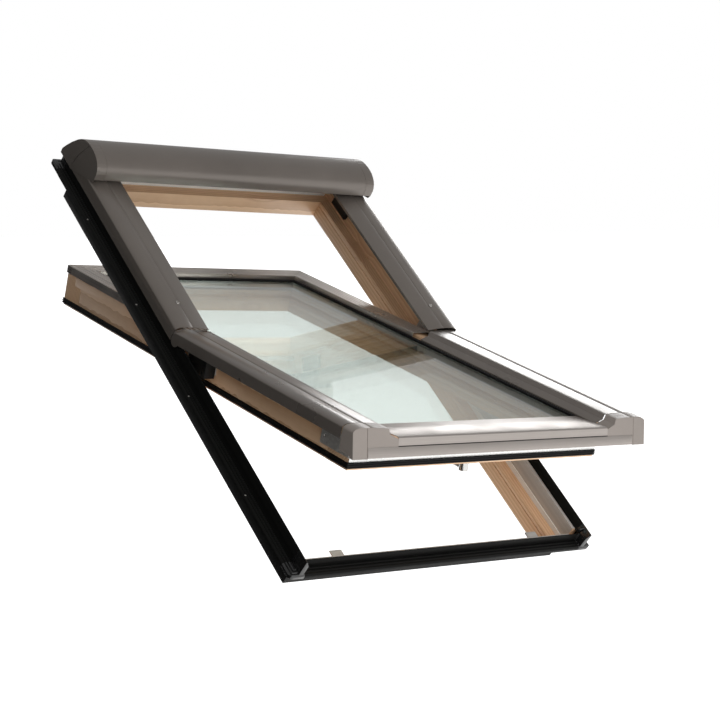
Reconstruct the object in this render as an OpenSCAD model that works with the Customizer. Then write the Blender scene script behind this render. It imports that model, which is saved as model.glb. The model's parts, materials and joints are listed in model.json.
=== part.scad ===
// Centre-pivot roof window: wooden frame and sash, double glazing, folded metal covers.
// Every piece is drawn in the plane of the window: x across, y up the slope, z outward.
// The last step tilts that plane to the roof pitch and turns the sash about its hinge pins.

/* [Window] */
// Width over the outer drain profile
outer_width = 780; // [620:10:1000]
// Length over the outer drain profile, along the slope
outer_length = 1180; // [900:10:1500]
// Slope of the roof that the window lies in, in degrees
roof_pitch = 45; // [15:1:75]
// How far the sash stands open, in degrees
open_angle = 26.5; // [0:0.5:60]

/* [Frame] */
// Drain profile outside the wood, seen from the front
profile_width = 22; // [16:1:34]
// Wall of the wooden frame beside the rebate
rebate_wall = 15; // [10:1:24]
// Ledge at the foot of the rebate
rebate_ledge = 28; // [20:1:40]
// Frame wood behind the seat of the drain profile
frame_depth_back = 62; // [54:1:110]
// Ledge of the rebate, measured behind the seat of the drain profile
ledge_depth = 20; // [12:1:30]
// Top of the frame wood in front of the seat of the drain profile
frame_rise = 24; // [18:1:28]
// Width of the frame's back face, inside the bevel of its outer edge
back_face = 14; // [8:1:30]
// How far the sill's rebate wall and bead stay below those of the sides
sill_drop = 16; // [10:1:18]
// Thickness of the metal lining in the rebate
liner_thickness = 1.2; // [0.8:0.1:2]
// Height of the foam strip at the foot of the lining
foam_height = 11; // [6:1:14]
// Thickness of the foam strip
foam_thickness = 3; // [2:0.5:5]

/* [Covers] */
// Thickness of the folded metal
sheet = 1.2; // [0.8:0.1:2]
// Width of the side covers, seen from the front
cover_width = 81; // [74:1:92]
// Height of the upper side covers above the seat of the drain profile
cover_height = 63.5; // [60:0.5:70]
// Width of the rounded shoulder between the back and the outer leg of the covers
shoulder_width = 22; // [14:1:26]
// Depth of that shoulder
shoulder_depth = 8; // [4:0.5:8]
// Depth of the outer leg of the upper side covers
cover_leg = 35; // [26:1:38]
// Depth of the outer leg of the lower side covers
sash_cover_leg = 29; // [24:1:34]
// Gap between a cover and the drain profile beside it
cover_gap = 2.5; // [1.5:0.5:4]
// Lower end of the upper side covers, above the middle of the window
cover_end = 7; // [6:1:12]
// Length of the hood along the slope
hood_reach = 146; // [140:1:156]
// Rise of the hood above the seat of the drain profile
hood_rise = 116.5; // [112:0.5:124]
// Width of each end cap of the hood
hood_cap_width = 22; // [16:1:34]

/* [Sash] */
// Running gap between the sash and the frame
sash_gap = 7; // [5:0.5:9]
// Width of the sash wood, seen from the front
stile_width = 63; // [56:1:76]
// Depth of the sash from the cover line to its room face
sash_depth = 103; // [92:1:112]
// Height of the folded bottom cover's front band
front_band = 16; // [12:1:18]
// How far the bottom cover reaches past the sash wood
bottom_reach = 76; // [72:1:82]
// Slant of the front of the bottom cover and the corner caps, along the slope
front_rake = 15; // [8:1:18]
// Height of the seal around the sash
seal_height = 12; // [9:1:14]
// Height of the metal carrier beside the seal
carrier_height = 11; // [8:1:13]

/* [Glass] */
// Thickness of each pane
pane = 4; // [3:0.5:6]
// Space between the panes
pane_gap = 16; // [10:1:18]
// Outer face of the glass, below the cover line
glass_drop = 28; // [24:1:32]
// Glass held in the sash rebate on each side
glass_bite = 23; // [16:1:26]
// Space between the glass and the wood around it
glass_clearance = 4; // [3:0.5:6]

/* [Hinge] */
// Height of the hinge pin above the seat of the drain profile
pivot_height = 39.5; // [38:0.5:41]
// Hinge pin below the middle of the window
pivot_drop = 6; // [4:1:10]
// Diameter of the hinge pin
pin_diameter = 12; // [8:1:14]
// Radial clearance of the hinge pin in its bush
pin_clearance = 0.05; // [0.02:0.01:0.1]
// Radius of the round ends of the lower side covers
nose_radius = 21.5; // [19:0.5:22]

/* [Lock] */
// Travel of the lock rods
rod_travel = 14; // [8:1:16]
// Length of the window handle
handle_length = 118; // [90:1:150]
// Diameter of the handle spindle
spindle_diameter = 8; // [6:1:10]

/* [Hidden] */

$fn = 48;

// Places measured from the middle of the window: x across, u up the slope, n outward.
half_width = outer_width / 2;
half_length = outer_length / 2;
seat_u = half_length - profile_width / 2;
wood_x = half_width - profile_width;
wood_u = half_length - profile_width;
wall_x = wood_x - rebate_wall;
wall_u = wood_u - rebate_wall;
ledge_x = wall_x - rebate_ledge;
ledge_top_u = wall_u - rebate_ledge;
sill_ledge = rebate_ledge - 8;
ledge_sill_u = wall_u - sill_ledge;
back_n = -frame_depth_back;
ledge_n = -ledge_depth;
bevel_n = ledge_n - 2;
back_bevel = wood_u - ledge_sill_u - back_face;
sill_rise = frame_rise - sill_drop;

// Outline of the drain profile, measured from the outer face of the wood.
skin = 2;
profile_base = 9;
bead_height = 19.5;
bead_reach = 10.5;
corner_length = 34;
ridge_radius = 2.5;
plan_radius = 10;

// The sash when it is shut.
pivot_u = -pivot_drop;
pivot_n = pivot_height;
cover_line = pivot_n + nose_radius;
sash_x = ledge_x - sash_gap;
sash_top_u = ledge_top_u - sash_gap;
sash_low_u = -(ledge_sill_u - sash_gap);
inner_x = sash_x - stile_width;
inner_top_u = sash_top_u - stile_width;
inner_low_u = sash_low_u + stile_width;
room_n = cover_line - sash_depth;
wood_top_n = cover_line - 19;

// Glass and what holds it.
glass_n = cover_line - glass_drop;
glass_back_n = glass_n - 2 * pane - pane_gap;
rebate_x = inner_x + glass_bite + glass_clearance;
rebate_top_u = inner_top_u + glass_bite + glass_clearance;
low_stop = 10;
rebate_low_u = sash_low_u + low_stop;
glass_x = rebate_x - glass_clearance;
glass_top_u = rebate_top_u - glass_clearance;
glass_low_u = rebate_low_u + glass_clearance;
seal_band = 6;
spacer_band = 8;
gasket_width = 8;
gasket_height = 5;
gasket_x = inner_x + 15;
gasket_top_u = inner_top_u + 15;
gasket_low_u = sash_low_u + 27;
fit = 0.3;
bar_top_n = cover_line - 14;
bar_thickness = 2;
bar_rib = 1;
bar_start_u = pivot_u + nose_radius + 7;
bar_hang = 17;

// Covers.
bend_steps = 8;
leg_x = wood_x + skin + cover_gap + sheet;
cover_inner_x = leg_x - cover_width;
crest_x = leg_x - shoulder_width;
upper_drop = 8;
lower_drop = 3;
cover_lip = 6;
groove_x = crest_x - 18;
groove_half = 1;
groove_depth = 0.8;
curve_steps = 5;
hood_back_u = half_length - 2;
hood_start = hood_back_u - hood_reach;
hood_lip_n = cover_height + 9.5;
cover_top_u = hood_back_u - 44;
cap_plate = 1.5;
clip_x = 152;
clip_width = 20;
clip_plate = 1.5;
block_size = [8, 62, 32];
block_offset = 40;
front_top_u = sash_low_u - bottom_reach + front_rake;
front_low_u = sash_low_u - bottom_reach;
front_low_n = cover_line - 52.5;
band_top_n = cover_line - 17;
band_low_n = band_top_n - front_band;
cap_joint_x = gasket_x - fit;
cap_start_u = front_top_u + 28;
strip_x = wall_x - 13;

// Hinge.
bush_radius = 13;
plate = 3;
ear_x = wall_x - plate;
pin_start_x = sash_x + plate + 1;
screw_u = pivot_u + 84;
screw_x = leg_x - 36;
screw_shank = 2;
screw_head = 4;
flange_top_n = cover_height - 13;

// Lock.
case_half = 20;
case_depth = 42;
case_low_n = ledge_n + 6;
case_high_n = case_low_n + 16;
handle_u = (sash_low_u + inner_low_u) / 2;
rod_n = case_low_n + 10;
rod_height = 12;
rod_thickness = 4;
rod_start_x = case_half + 2;
cam_radius = 4.5;
cam_x = inner_x - 23;
cam_length = 11;
drive_length = 84;
drive_thickness = 5;
drive_corner = 18;
rod_end_x = sash_x - drive_corner - rod_travel - 1;
handle_plate = 6;
neck = 8;

WOOD = [0.80, 0.66, 0.50];
BLACK = [0.09, 0.09, 0.08];
CLADDING = [0.46, 0.43, 0.41];
LIGHT_METAL = [0.72, 0.70, 0.67];
STEEL = [0.62, 0.62, 0.60];
PLASTIC = [0.14, 0.14, 0.15];
GLASS = [0.78, 0.84, 0.80, 0.4];
FOAM = [0.90, 0.90, 0.88];

// ---------------------------------------------------------------- sheets and outlines

function left_normal(a, b) = [a[1] - b[1], b[0] - a[0]] / norm(b - a);

function mitre(points, i) =
    let (
        last = len(points) - 1,
        before = left_normal(points[max(i - 1, 0)], points[max(i, 1)]),
        after = left_normal(points[min(i, last - 1)], points[min(i + 1, last)])
    )
    (before + after) / (1 + before * after);

function shifted(points, distance) =
    [for (i = [0 : len(points) - 1]) points[i] + distance * mitre(points, i)];

function reversed(points) = [for (i = [len(points) - 1 : -1 : 0]) points[i]];

// A line of points given a thickness: to the left of the line where it is positive.
function sheet_outline(points, thickness) =
    concat(points, reversed(shifted(points, thickness)));

// Back of a side cover: one curve that falls from the shoulder to the inner edge.
function crown_n(x, top, drop) = top - drop * pow((crest_x - x) / (crest_x - cover_inner_x), 2);

// Outer leg, shoulder, back, groove and inner edge of a side cover, from outside inward.
function cover_line_points(top, drop, leg) =
    concat(
        [[leg_x, top - leg]],
        [for (i = [0 : bend_steps]) let (a = 90 * i / bend_steps)
            [crest_x + shoulder_width * cos(a), top - shoulder_depth * (1 - sin(a))]],
        [let (x = groove_x + groove_half) [x, crown_n(x, top, drop)]],
        [[groove_x, crown_n(groove_x, top, drop) - groove_depth]],
        [for (i = [0 : curve_steps])
            let (x = groove_x - groove_half + (cover_inner_x - groove_x + groove_half) * i / curve_steps)
            [x, crown_n(x, top, drop)]]
    );

function upper_cover_points() =
    let (edge = crown_n(cover_inner_x, cover_height, upper_drop))
    concat(
        [[wood_x + skin + fit, cover_height - cover_leg]],
        cover_line_points(cover_height, upper_drop, cover_leg),
        [[cover_inner_x, edge - cover_lip]]
    );

flank_x = gasket_x + fit;
flank_bend = [flank_x + 19.4, wood_top_n + 6];
flank_foot = [flank_x + 1, glass_n + gasket_height + 2];

function lower_cover_points() =
    concat(
        cover_line_points(cover_line, lower_drop, sash_cover_leg),
        [flank_bend, flank_foot, [flank_x + 1, glass_n + 1]]
    );

// ---------------------------------------------------------------- directions

// Draws an outline given in x and n, and runs it up the slope.
module along_slope(low, high) {
    translate([0, high, 0])
        rotate([90, 0, 0])
            linear_extrude(high - low)
                children();
}

// Draws an outline given in u and n, and runs it across the window.
module across(left, right) {
    translate([left, 0, 0])
        rotate([90, 0, 90])
            linear_extrude(right - left)
                children();
}

// Draws an outline given in x and u, and raises it outward.
module outward(low, high) {
    translate([0, 0, low])
        linear_extrude(high - low)
            children();
}

module box(low, high) {
    translate(low)
        cube(high - low);
}

// A round bar across the window.
module round_across(left, right, radius) {
    translate([left, 0, 0])
        rotate([0, 90, 0])
            cylinder(r = radius, h = right - left);
}

module frame_place() {
    rotate([roof_pitch, 0, 0])
        translate([0, seat_u, 0])
            children();
}

module sash_place() {
    frame_place()
        translate([0, pivot_u, pivot_n])
            rotate([-open_angle, 0, 0])
                translate([0, -pivot_u, -pivot_n])
                    children();
}

module at_pivot() {
    translate([0, pivot_u, pivot_n])
        children();
}

module upside_down() {
    mirror([0, 1, 0])
        children();
}

module mirrored() {
    mirror([1, 0, 0])
        children();
}

module both_sides() {
    children();
    mirrored()
        children();
}

// A frame-shaped band between two rectangles in the plane of the window.
module band(outer_x, outer_low, outer_high, inner_x, inner_low, inner_high) {
    difference() {
        translate([-outer_x, outer_low])
            square([2 * outer_x, outer_high - outer_low]);
        translate([-inner_x, inner_low])
            square([2 * inner_x, inner_high - inner_low]);
    }
}

// ---------------------------------------------------------------- frame wood

// The bar behind the ledge, bevelled at its outer back edge.
module frame_foot(ledge, outside) {
    polygon([
        [ledge, back_n], [outside - back_bevel, back_n], [outside - back_bevel, bevel_n - back_bevel],
        [outside, bevel_n], [outside, ledge_n], [ledge, ledge_n]
    ]);
}

// The head or the sill behind the ledge: the bevels of the sides run through at its ends.
module frame_end_foot(ledge) {
    intersection() {
        across(-wood_x, wood_x)
            frame_foot(ledge, wood_u);
        along_slope(ledge - 1, wood_u + 1)
            both_sides()
                frame_foot(-1, wood_x);
    }
}

module frame_wall(wall, outside, rise) {
    translate([wall, ledge_n])
        square([outside - wall, rise - ledge_n]);
}

kerf_width = 2;
kerf_depth = 2.5;

module kerf() {
    translate([ledge_x - 1, ledge_n - 12])
        square([kerf_depth + 1, kerf_width]);
}

module frame_head_rail() {
    color(WOOD)
        union() {
            frame_end_foot(ledge_top_u);
            across(-wood_x, wood_x)
                frame_wall(wall_u, wood_u, frame_rise);
        }
}

// The sill's wall is lower than those of the sides and runs under their ends.
module frame_sill_rail() {
    color(WOOD)
        upside_down() {
            frame_end_foot(ledge_sill_u);
            across(-wood_x, wood_x)
                frame_wall(wall_u, wood_u, sill_rise);
        }
}

module frame_jamb() {
    color(WOOD) {
        along_slope(-ledge_sill_u, ledge_top_u)
            difference() {
                frame_foot(ledge_x, wood_x);
                kerf();
            }
        along_slope(-wall_u, wall_u)
            frame_wall(wall_x, wood_x, frame_rise);
    }
}

// ---------------------------------------------------------------- drain profile

// Bead over the top edge of the wood: its inner face slants up from the lining to the outside.
module bead_section(outside, rise) {
    polygon([
        [outside + skin - bead_reach, rise], [outside + skin - bead_reach, rise + 7],
        [outside - 1.5, rise + bead_height - 2], [outside, rise + bead_height],
        [outside + 1, rise + bead_height], [outside + skin, rise + bead_height - 1.5],
        [outside + skin, rise]
    ]);
}

// Base with two ridges, the bead, and a skin that follows the outside of the wood down to its back.
module profile_section(outside, rise) {
    bead_section(outside, rise);
    translate([outside, 0]) {
        polygon([
            [0, bevel_n], [-back_bevel, bevel_n - back_bevel], [-back_bevel, back_n],
            [skin - back_bevel, back_n], [skin - back_bevel, bevel_n - back_bevel],
            [skin, bevel_n], [skin, 0], [profile_width, 0], [profile_width, profile_base - 3],
            [profile_width - 3, profile_base], [skin, profile_base], [skin, rise], [0, rise]
        ]);
        for (reach = [6, 13])
            translate([reach, profile_base - 1])
                circle(r = ridge_radius);
    }
}

// Plan of one bar along an outer edge, mitred at both ends.
module bar_plan(edge, half) {
    reach = 80;
    polygon([[edge, -half], [edge, half], [edge - reach, half - reach], [edge - reach, reach - half]]);
}

// The bead is cut away beside the hinge, where the end of the lower cover turns.
module drain_profile_side() {
    color(BLACK)
        difference() {
            intersection() {
                along_slope(-half_length + corner_length, half_length - corner_length)
                    profile_section(wood_x, frame_rise);
                outward(back_n, cover_height)
                    bar_plan(half_width, half_length);
            }
            intersection() {
                nose_space();
                outward(pivot_n - 5.5, cover_height)
                    translate([wall_x, pivot_u - 2 * nose_radius])
                        square([leg_x - wall_x, 4 * nose_radius]);
            }
        }
}

module drain_profile_end(rise) {
    color(BLACK)
        intersection() {
            across(-half_width + corner_length, half_width - corner_length)
                profile_section(wood_u, rise);
            outward(back_n, cover_height)
                mirror([1, -1])
                    bar_plan(half_length, half_width);
        }
}

// The half of a corner that belongs to one of its two bars.
module corner_wedge(swap) {
    corner = [half_width, half_length];
    reach = 80;
    far = swap ? [half_width - reach, half_length] : [half_width, half_length - reach];
    outward(back_n - 1, frame_rise + bead_height + 1)
        polygon([corner, far, corner - [reach, reach]]);
}

// Outline of the window's corner, rounded in plan.
module corner_plan() {
    inner = [half_width - plan_radius, half_length - plan_radius];
    square([half_width, inner[1]]);
    square([inner[0], half_length]);
    translate(inner)
        circle(r = plan_radius);
}

// Moulded corner: both bars meet in it, and the bead of the side stands on it as far as a given line.
module profile_corner(rise, stand_u) {
    color(BLACK)
        intersection() {
            union() {
                intersection() {
                    along_slope(half_length - corner_length, half_length)
                        profile_section(wood_x, frame_rise);
                    corner_wedge(false);
                }
                intersection() {
                    across(half_width - corner_length, half_width)
                        profile_section(wood_u, rise);
                    corner_wedge(true);
                }
                along_slope(wood_u, stand_u) {
                    bead_section(wood_x, frame_rise);
                    translate([wood_x + skin - bead_reach, 0])
                        square([bead_reach, frame_rise]);
                }
            }
            outward(back_n, cover_height)
                corner_plan();
        }
}

// ---------------------------------------------------------------- rebate lining and foam

lining_high_u = pivot_u - 74;
lining_low_n = ledge_n + foam_height;

bead_start = skin - bead_reach - fit;

// Lining of the rebate wall, folded over the top of the wood as far as the bead.
module lining_section(wall, outside, rise) {
    polygon([
        [wall, lining_low_n], [wall, rise], [outside + bead_start, rise],
        [outside + bead_start, rise + liner_thickness],
        [wall - liner_thickness, rise + liner_thickness], [wall - liner_thickness, lining_low_n]
    ]);
}

module rebate_lining_side() {
    color(LIGHT_METAL)
        along_slope(-wall_u + liner_thickness, lining_high_u)
            lining_section(wall_x, wood_x, frame_rise);
}

module rebate_lining_sill() {
    color(LIGHT_METAL)
        upside_down()
            across(-wall_x, wall_x)
                lining_section(wall_u, wood_u, sill_rise);
}

// Foam strips stand on the ledge: the head, the sill and both sides below the hinges.
module foam_strips() {
    end_x = wall_x - foam_thickness;
    color(FOAM) {
        box([-end_x, wall_u - foam_thickness, ledge_n], [end_x, wall_u, lining_low_n]);
        box([-end_x, -wall_u, ledge_n], [end_x, -wall_u + foam_thickness, lining_low_n]);
        both_sides()
            box([end_x, -wall_u, ledge_n], [wall_x, lining_high_u, lining_low_n]);
    }
}

// ---------------------------------------------------------------- hood

// The hood is one bowed sheet: a lip, the round front, the flat crest and the long fall to the roof.
function hood_points() = [
    [hood_start, hood_lip_n], [hood_start + 1, hood_lip_n + 15],
    [hood_start + 3.5, hood_rise - 22], [hood_start + 8, hood_rise - 15.5],
    [hood_start + 14, hood_rise - 10], [hood_start + 22, hood_rise - 5.5], [hood_start + 32, hood_rise - 2],
    [hood_start + 43, hood_rise - 0.3], [hood_start + 54, hood_rise], [hood_start + 66, hood_rise - 0.8],
    [hood_back_u - 68, hood_rise - 3], [hood_back_u - 58, hood_rise - 6.5],
    [hood_back_u - 48, hood_rise - 13], [hood_back_u - 38, hood_rise - 22.5],
    [hood_back_u - 22, hood_rise - 42], [hood_back_u - 8, hood_rise - 63], [hood_back_u, hood_rise - 77]
];

hood_x = leg_x - hood_cap_width;

module hood() {
    color(CLADDING)
        across(-hood_x, hood_x)
            polygon(sheet_outline(hood_points(), -sheet));
}

// End cap: the hood's own line carried on, closed by a side plate with a curved seam.
module hood_end_cap() {
    plate_low_n = cover_height - cover_leg;
    plate_x = leg_x + fit;
    seam = [
        [hood_back_u - 52, plate_low_n + 7], [hood_back_u - 56, plate_low_n + 24],
        [hood_back_u - 63, plate_low_n + 45], [hood_back_u - 73, plate_low_n + 67],
        [hood_back_u - 85, plate_low_n + 89]
    ];
    color(CLADDING) {
        across(hood_x + fit, plate_x)
            polygon(sheet_outline(hood_points(), -sheet));
        difference() {
            across(plate_x, plate_x + cap_plate)
                polygon(concat(
                    [[hood_start + 90, plate_low_n], [hood_start + 3, hood_lip_n - 8]],
                    hood_points(),
                    [[hood_back_u, plate_low_n]]
                ));
            across(plate_x + cap_plate - 0.6, plate_x + cap_plate + 1)
                polygon(sheet_outline(seam, cap_plate));
        }
    }
}

// Two strip brackets on the head rail that hold the hood's front lip.
module hood_clips() {
    foot_u = wall_u + clip_plate;
    line = [
        [hood_start + 2.2, hood_lip_n + 10], [hood_start + 3, hood_lip_n - 1],
        [hood_start + 18, hood_lip_n - 4],
        [wall_u - 16, hood_lip_n - 6], [foot_u, frame_rise + clip_plate], [foot_u, frame_rise]
    ];
    color(STEEL)
        both_sides()
            across(clip_x - clip_width / 2, clip_x + clip_width / 2) {
                polygon(sheet_outline(line, clip_plate));
                translate([foot_u, frame_rise])
                    square([wood_u + bead_start - foot_u, clip_plate]);
            }
}

// Packing blocks at the top of the side rebates.
module corner_blocks() {
    high_u = wall_u - block_offset;
    color(PLASTIC)
        both_sides()
            box([wall_x - block_size[0], high_u - block_size[1], ledge_n + foam_height],
                [wall_x, high_u, ledge_n + foam_height + block_size[2]]);
}

// ---------------------------------------------------------------- upper covers

module upper_cover() {
    color(CLADDING)
        difference() {
            along_slope(cover_end, cover_top_u)
                polygon(sheet_outline(upper_cover_points(), sheet));
            nose_space();
            translate([screw_x, screw_u, frame_rise])
                cylinder(r = screw_shank + fit, h = cover_height);
        }
}

// A strip of rubber inside the inner edge of each upper cover.
module upper_cover_gaskets() {
    edge_n = crown_n(cover_inner_x, cover_height, upper_drop) - cover_lip;
    low = [cover_inner_x + sheet, pivot_u + nose_radius + 2, edge_n - 1];
    color(BLACK)
        both_sides()
            box(low, [low[0] + 3, cover_top_u - 2, edge_n + cover_lip - 2]);
}

module cover_screws() {
    seat_n = crown_n(screw_x, cover_height, upper_drop) + 0.1;
    flange_n = flange_top_n - plate - 2;
    color(STEEL)
        both_sides()
            translate([screw_x, screw_u, 0])
                difference() {
                    union() {
                        translate([0, 0, seat_n])
                            cylinder(r = screw_head, h = 2);
                        translate([0, 0, flange_n])
                            cylinder(r = screw_shank, h = seat_n - flange_n + 1);
                    }
                    translate([0, 0, seat_n + 1])
                        cylinder(r = 1.6, h = 2, $fn = 6);
                }
}

// ---------------------------------------------------------------- hinges

// Plate on the rebate wall, with the hinge pin and a flange that takes the cover's screw.
module frame_hinge() {
    low_n = ledge_n + 4;
    color(STEEL)
        difference() {
            union() {
                box([ear_x, pivot_u - 64, low_n], [wall_x, screw_u + 14, frame_rise - 2]);
                box([ear_x, pivot_u - bush_radius + 2, low_n], [wall_x, pivot_u + bush_radius - 2, pivot_n]);
                at_pivot() {
                    round_across(ear_x, wall_x, bush_radius + 1);
                    round_across(pin_start_x, ear_x + 1, pin_diameter / 2);
                }
                box([ear_x, screw_u - 14, low_n], [wall_x, screw_u + 14, flange_top_n]);
                box([screw_x - 9, screw_u - 14, flange_top_n - plate], [wall_x, screw_u + 14, flange_top_n]);
            }
            translate([screw_x, screw_u, flange_top_n - plate - 1])
                cylinder(r = screw_shank + pin_clearance, h = plate + 2);
        }
}

// Countersunk wood screws that hold the frame plates, shown by their heads.
module hinge_plate_screws() {
    color(STEEL)
        both_sides()
            for (place_u = [pivot_u - 52, pivot_u - 22, pivot_u + 24, pivot_u + 54])
                translate([0, place_u, 4])
                    round_across(ear_x - 1.2, ear_x, 4);
}

// Plate on the stile with the bush that turns on the frame's pin.
module sash_hinge() {
    color(STEEL)
        difference() {
            union() {
                box([sash_x, pivot_u - 80, ledge_n + 12], [sash_x + plate, pivot_u + 24, pivot_n]);
                at_pivot()
                    round_across(sash_x, ear_x - fit, bush_radius);
            }
            at_pivot()
                round_across(sash_x + plate, ear_x, pin_diameter / 2 + pin_clearance);
        }
}

// Plastic housing over the brake, in the channel between sash and frame.
module hinge_housings() {
    color(PLASTIC)
        both_sides()
            difference() {
                box([sash_x + plate, pivot_u - 79, ledge_n + 5], [ear_x - 5, pivot_u - 16, ledge_n + 41]);
                for (place_u = [pivot_u - 68, pivot_u - 30])
                    translate([0, place_u, ledge_n + 14])
                        round_across(ear_x - 7, ear_x, 3);
            }
}

// ---------------------------------------------------------------- sash wood

module sash_stile() {
    color(WOOD) {
        along_slope(inner_low_u, inner_top_u)
            polygon([
                [inner_x, room_n], [sash_x, room_n], [sash_x, wood_top_n],
                [rebate_x, wood_top_n], [rebate_x, glass_back_n], [inner_x, glass_back_n]
            ]);
        box([rebate_x, rebate_low_u, glass_back_n], [sash_x, rebate_top_u, wood_top_n]);
    }
}

module sash_top_rail() {
    color(WOOD)
        across(-sash_x, sash_x)
            polygon([
                [inner_top_u, room_n], [sash_top_u, room_n], [sash_top_u, wood_top_n],
                [rebate_top_u, wood_top_n], [rebate_top_u, glass_back_n], [inner_top_u, glass_back_n]
            ]);
}

// The bottom rail has only a low stop, so that water runs off the glass.
module sash_bottom_rail() {
    stop_n = glass_n - 3;
    color(WOOD)
        difference() {
            across(-sash_x, sash_x)
                polygon([
                    [inner_low_u, room_n], [sash_low_u, room_n], [sash_low_u, stop_n],
                    [rebate_low_u, stop_n], [rebate_low_u, glass_back_n], [inner_low_u, glass_back_n]
                ]);
            box([-case_half - fit, sash_low_u - 1, case_low_n - fit],
                [case_half + fit, sash_low_u + case_depth + fit, case_high_n + fit]);
            translate([0, handle_u, room_n - 1])
                cylinder(d = spindle_diameter + 4, h = case_low_n - room_n + 2);
        }
}

// ---------------------------------------------------------------- glass

module pane_of_glass(low_n) {
    color(GLASS)
        box([-glass_x, glass_low_u, low_n], [glass_x, glass_top_u, low_n + pane]);
}

module pane_ring(outer, width) {
    x = glass_x - outer;
    low_u = glass_low_u + outer;
    top_u = glass_top_u - outer;
    outward(glass_back_n + pane, glass_n - pane)
        band(x, low_u, top_u, x - width, low_u + width, top_u - width);
}

module glass_spacer() {
    color(LIGHT_METAL)
        pane_ring(seal_band, spacer_band);
}

module glass_edge_seal() {
    color(BLACK)
        pane_ring(0, seal_band);
}

// Packers between the edge of the glass and the wood.
module setting_blocks() {
    long = 80;
    color(PLASTIC) {
        both_sides() {
            box([glass_x - 120, rebate_low_u, glass_back_n + 1],
                [glass_x - 120 + long, glass_low_u, glass_n - 1]);
            for (place_u = [glass_low_u + 90, glass_top_u - 90 - long])
                box([glass_x, place_u, glass_back_n + 1], [rebate_x, place_u + long, glass_n - 1]);
        }
    }
}

// Rubber on the glass along the top and both sides, open at the bottom.
module glazing_gasket() {
    color(BLACK)
        difference() {
            outward(glass_n, glass_n + gasket_height)
                band(gasket_x, gasket_low_u, gasket_top_u,
                     gasket_x - gasket_width, gasket_low_u - 1, gasket_top_u - gasket_width);
        }
}

// ---------------------------------------------------------------- glazing bars of the upper half

bar_outer_x = sash_x + bar_thickness + fit;
bar_width = bar_outer_x - gasket_x - fit;

// Ribbed cap over the wood with a leg to the glass and a leg down the outside of the sash.
module bar_section(start) {
    translate([start, 0]) {
        translate([0, bar_top_n - bar_thickness])
            square([bar_width, bar_thickness]);
        for (rib = [0 : 4])
            translate([2 + rib * (bar_width - 6) / 4, bar_top_n - bar_rib])
                square([2, 2 * bar_rib]);
        translate([0, glass_n])
            square([bar_thickness, bar_top_n - glass_n]);
        translate([bar_width - bar_thickness, bar_top_n - bar_hang])
            square([bar_thickness, bar_hang]);
    }
}

mitre_start = [gasket_x + fit, gasket_top_u + fit];
mitre_low = mitre_start - [20, 20];
mitre_high = mitre_start + [bar_width + 20, bar_width + 20];

module glazing_bar() {
    color(LIGHT_METAL)
        intersection() {
            along_slope(bar_start_u, mitre_high[1])
                bar_section(mitre_start[0]);
            outward(0, cover_height)
                polygon([[mitre_low[0], 0], mitre_low, mitre_high, [mitre_high[0], 0]]);
        }
}

module top_glazing_bar() {
    color(LIGHT_METAL)
        intersection() {
            across(-mitre_high[0], mitre_high[0])
                bar_section(mitre_start[1]);
            outward(0, cover_height)
                polygon([
                    [-mitre_low[0], mitre_low[1]], mitre_low, mitre_high, [-mitre_high[0], mitre_high[1]]
                ]);
        }
}

// ---------------------------------------------------------------- lower covers

nose_limit_x = cover_inner_x + sheet + 1;
nose_turn = 38;

// Back of the cover between its bend and its inner edge, as reach from the pin and place across.
function nose_points() = [
    for (point = cover_line_points(cover_line, lower_drop, sash_cover_leg))
        if (point[1] > pivot_n + bush_radius && point[0] > nose_limit_x)
            [point[1] - pivot_n, -point[0]]
];

// Room that the turned end of the lower cover sweeps, with a running gap around it.
module nose_space() {
    points = nose_points();
    gap = 1;
    at_pivot()
        rotate([0, -90, 0])
            rotate_extrude($fn = 64)
                polygon(concat(
                    [[0, -leg_x - gap], [points[0][0] + gap, -leg_x - gap]],
                    [for (point = points) point + [gap, 0]],
                    [[points[len(points) - 1][0] + gap, -cover_inner_x + gap], [0, -cover_inner_x + gap]]
                ));
}

// The cover's upper end is turned about the hinge pin, so that it clears the upper cover.
module lower_cover() {
    nose_leg = nose_points()[0][0];
    color(CLADDING) {
        along_slope(-wall_u - 2, pivot_u)
            polygon(sheet_outline(lower_cover_points(), sheet));
        at_pivot() {
            rotate([0, -90, 0])
                rotate_extrude(angle = nose_turn, $fn = 64)
                    polygon(sheet_outline(nose_points(), sheet));
            round_across(leg_x - sheet, leg_x, nose_leg);
        }
    }
}

// Place of the raked front plane at a given height.
function front_u(n) =
    front_top_u + (front_low_u - front_top_u) * (cover_line - n) / (cover_line - front_low_n);

module bottom_cover() {
    edge_u = gasket_low_u - 1;
    line = [
        [edge_u + 1, glass_n + sheet], [edge_u, glass_n + 3], [front_u(band_top_n) + 5, band_top_n + 0.5],
        [front_u(band_top_n - 1.5), band_top_n - 1.5], [front_u(band_low_n), band_low_n]
    ];
    color(LIGHT_METAL)
        across(-cap_joint_x + fit, cap_joint_x - fit)
            polygon(sheet_outline(line, sheet));
}

// Strip under the bottom cover: its upper leg sits behind the cover's front band.
module drip_strip() {
    behind = sheet + fit;
    step_n = band_low_n - 3;
    line = [
        [front_u(band_top_n - 5) + behind, band_top_n - 5], [front_u(step_n + 2) + behind, step_n + 2],
        [front_u(step_n), step_n], [front_u(front_low_n), front_low_n + 1]
    ];
    color(LIGHT_METAL)
        across(-strip_x, strip_x)
            polygon(sheet_outline(line, sheet));
}

function cap_points() =
    let (slope = (flank_bend[1] - flank_foot[1]) / (flank_bend[0] - flank_foot[0]))
    concat(
        cover_line_points(cover_line, lower_drop, cover_line - front_low_n),
        [flank_bend, [cap_joint_x, flank_bend[1] - slope * (flank_bend[0] - cap_joint_x)]]
    );

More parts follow.
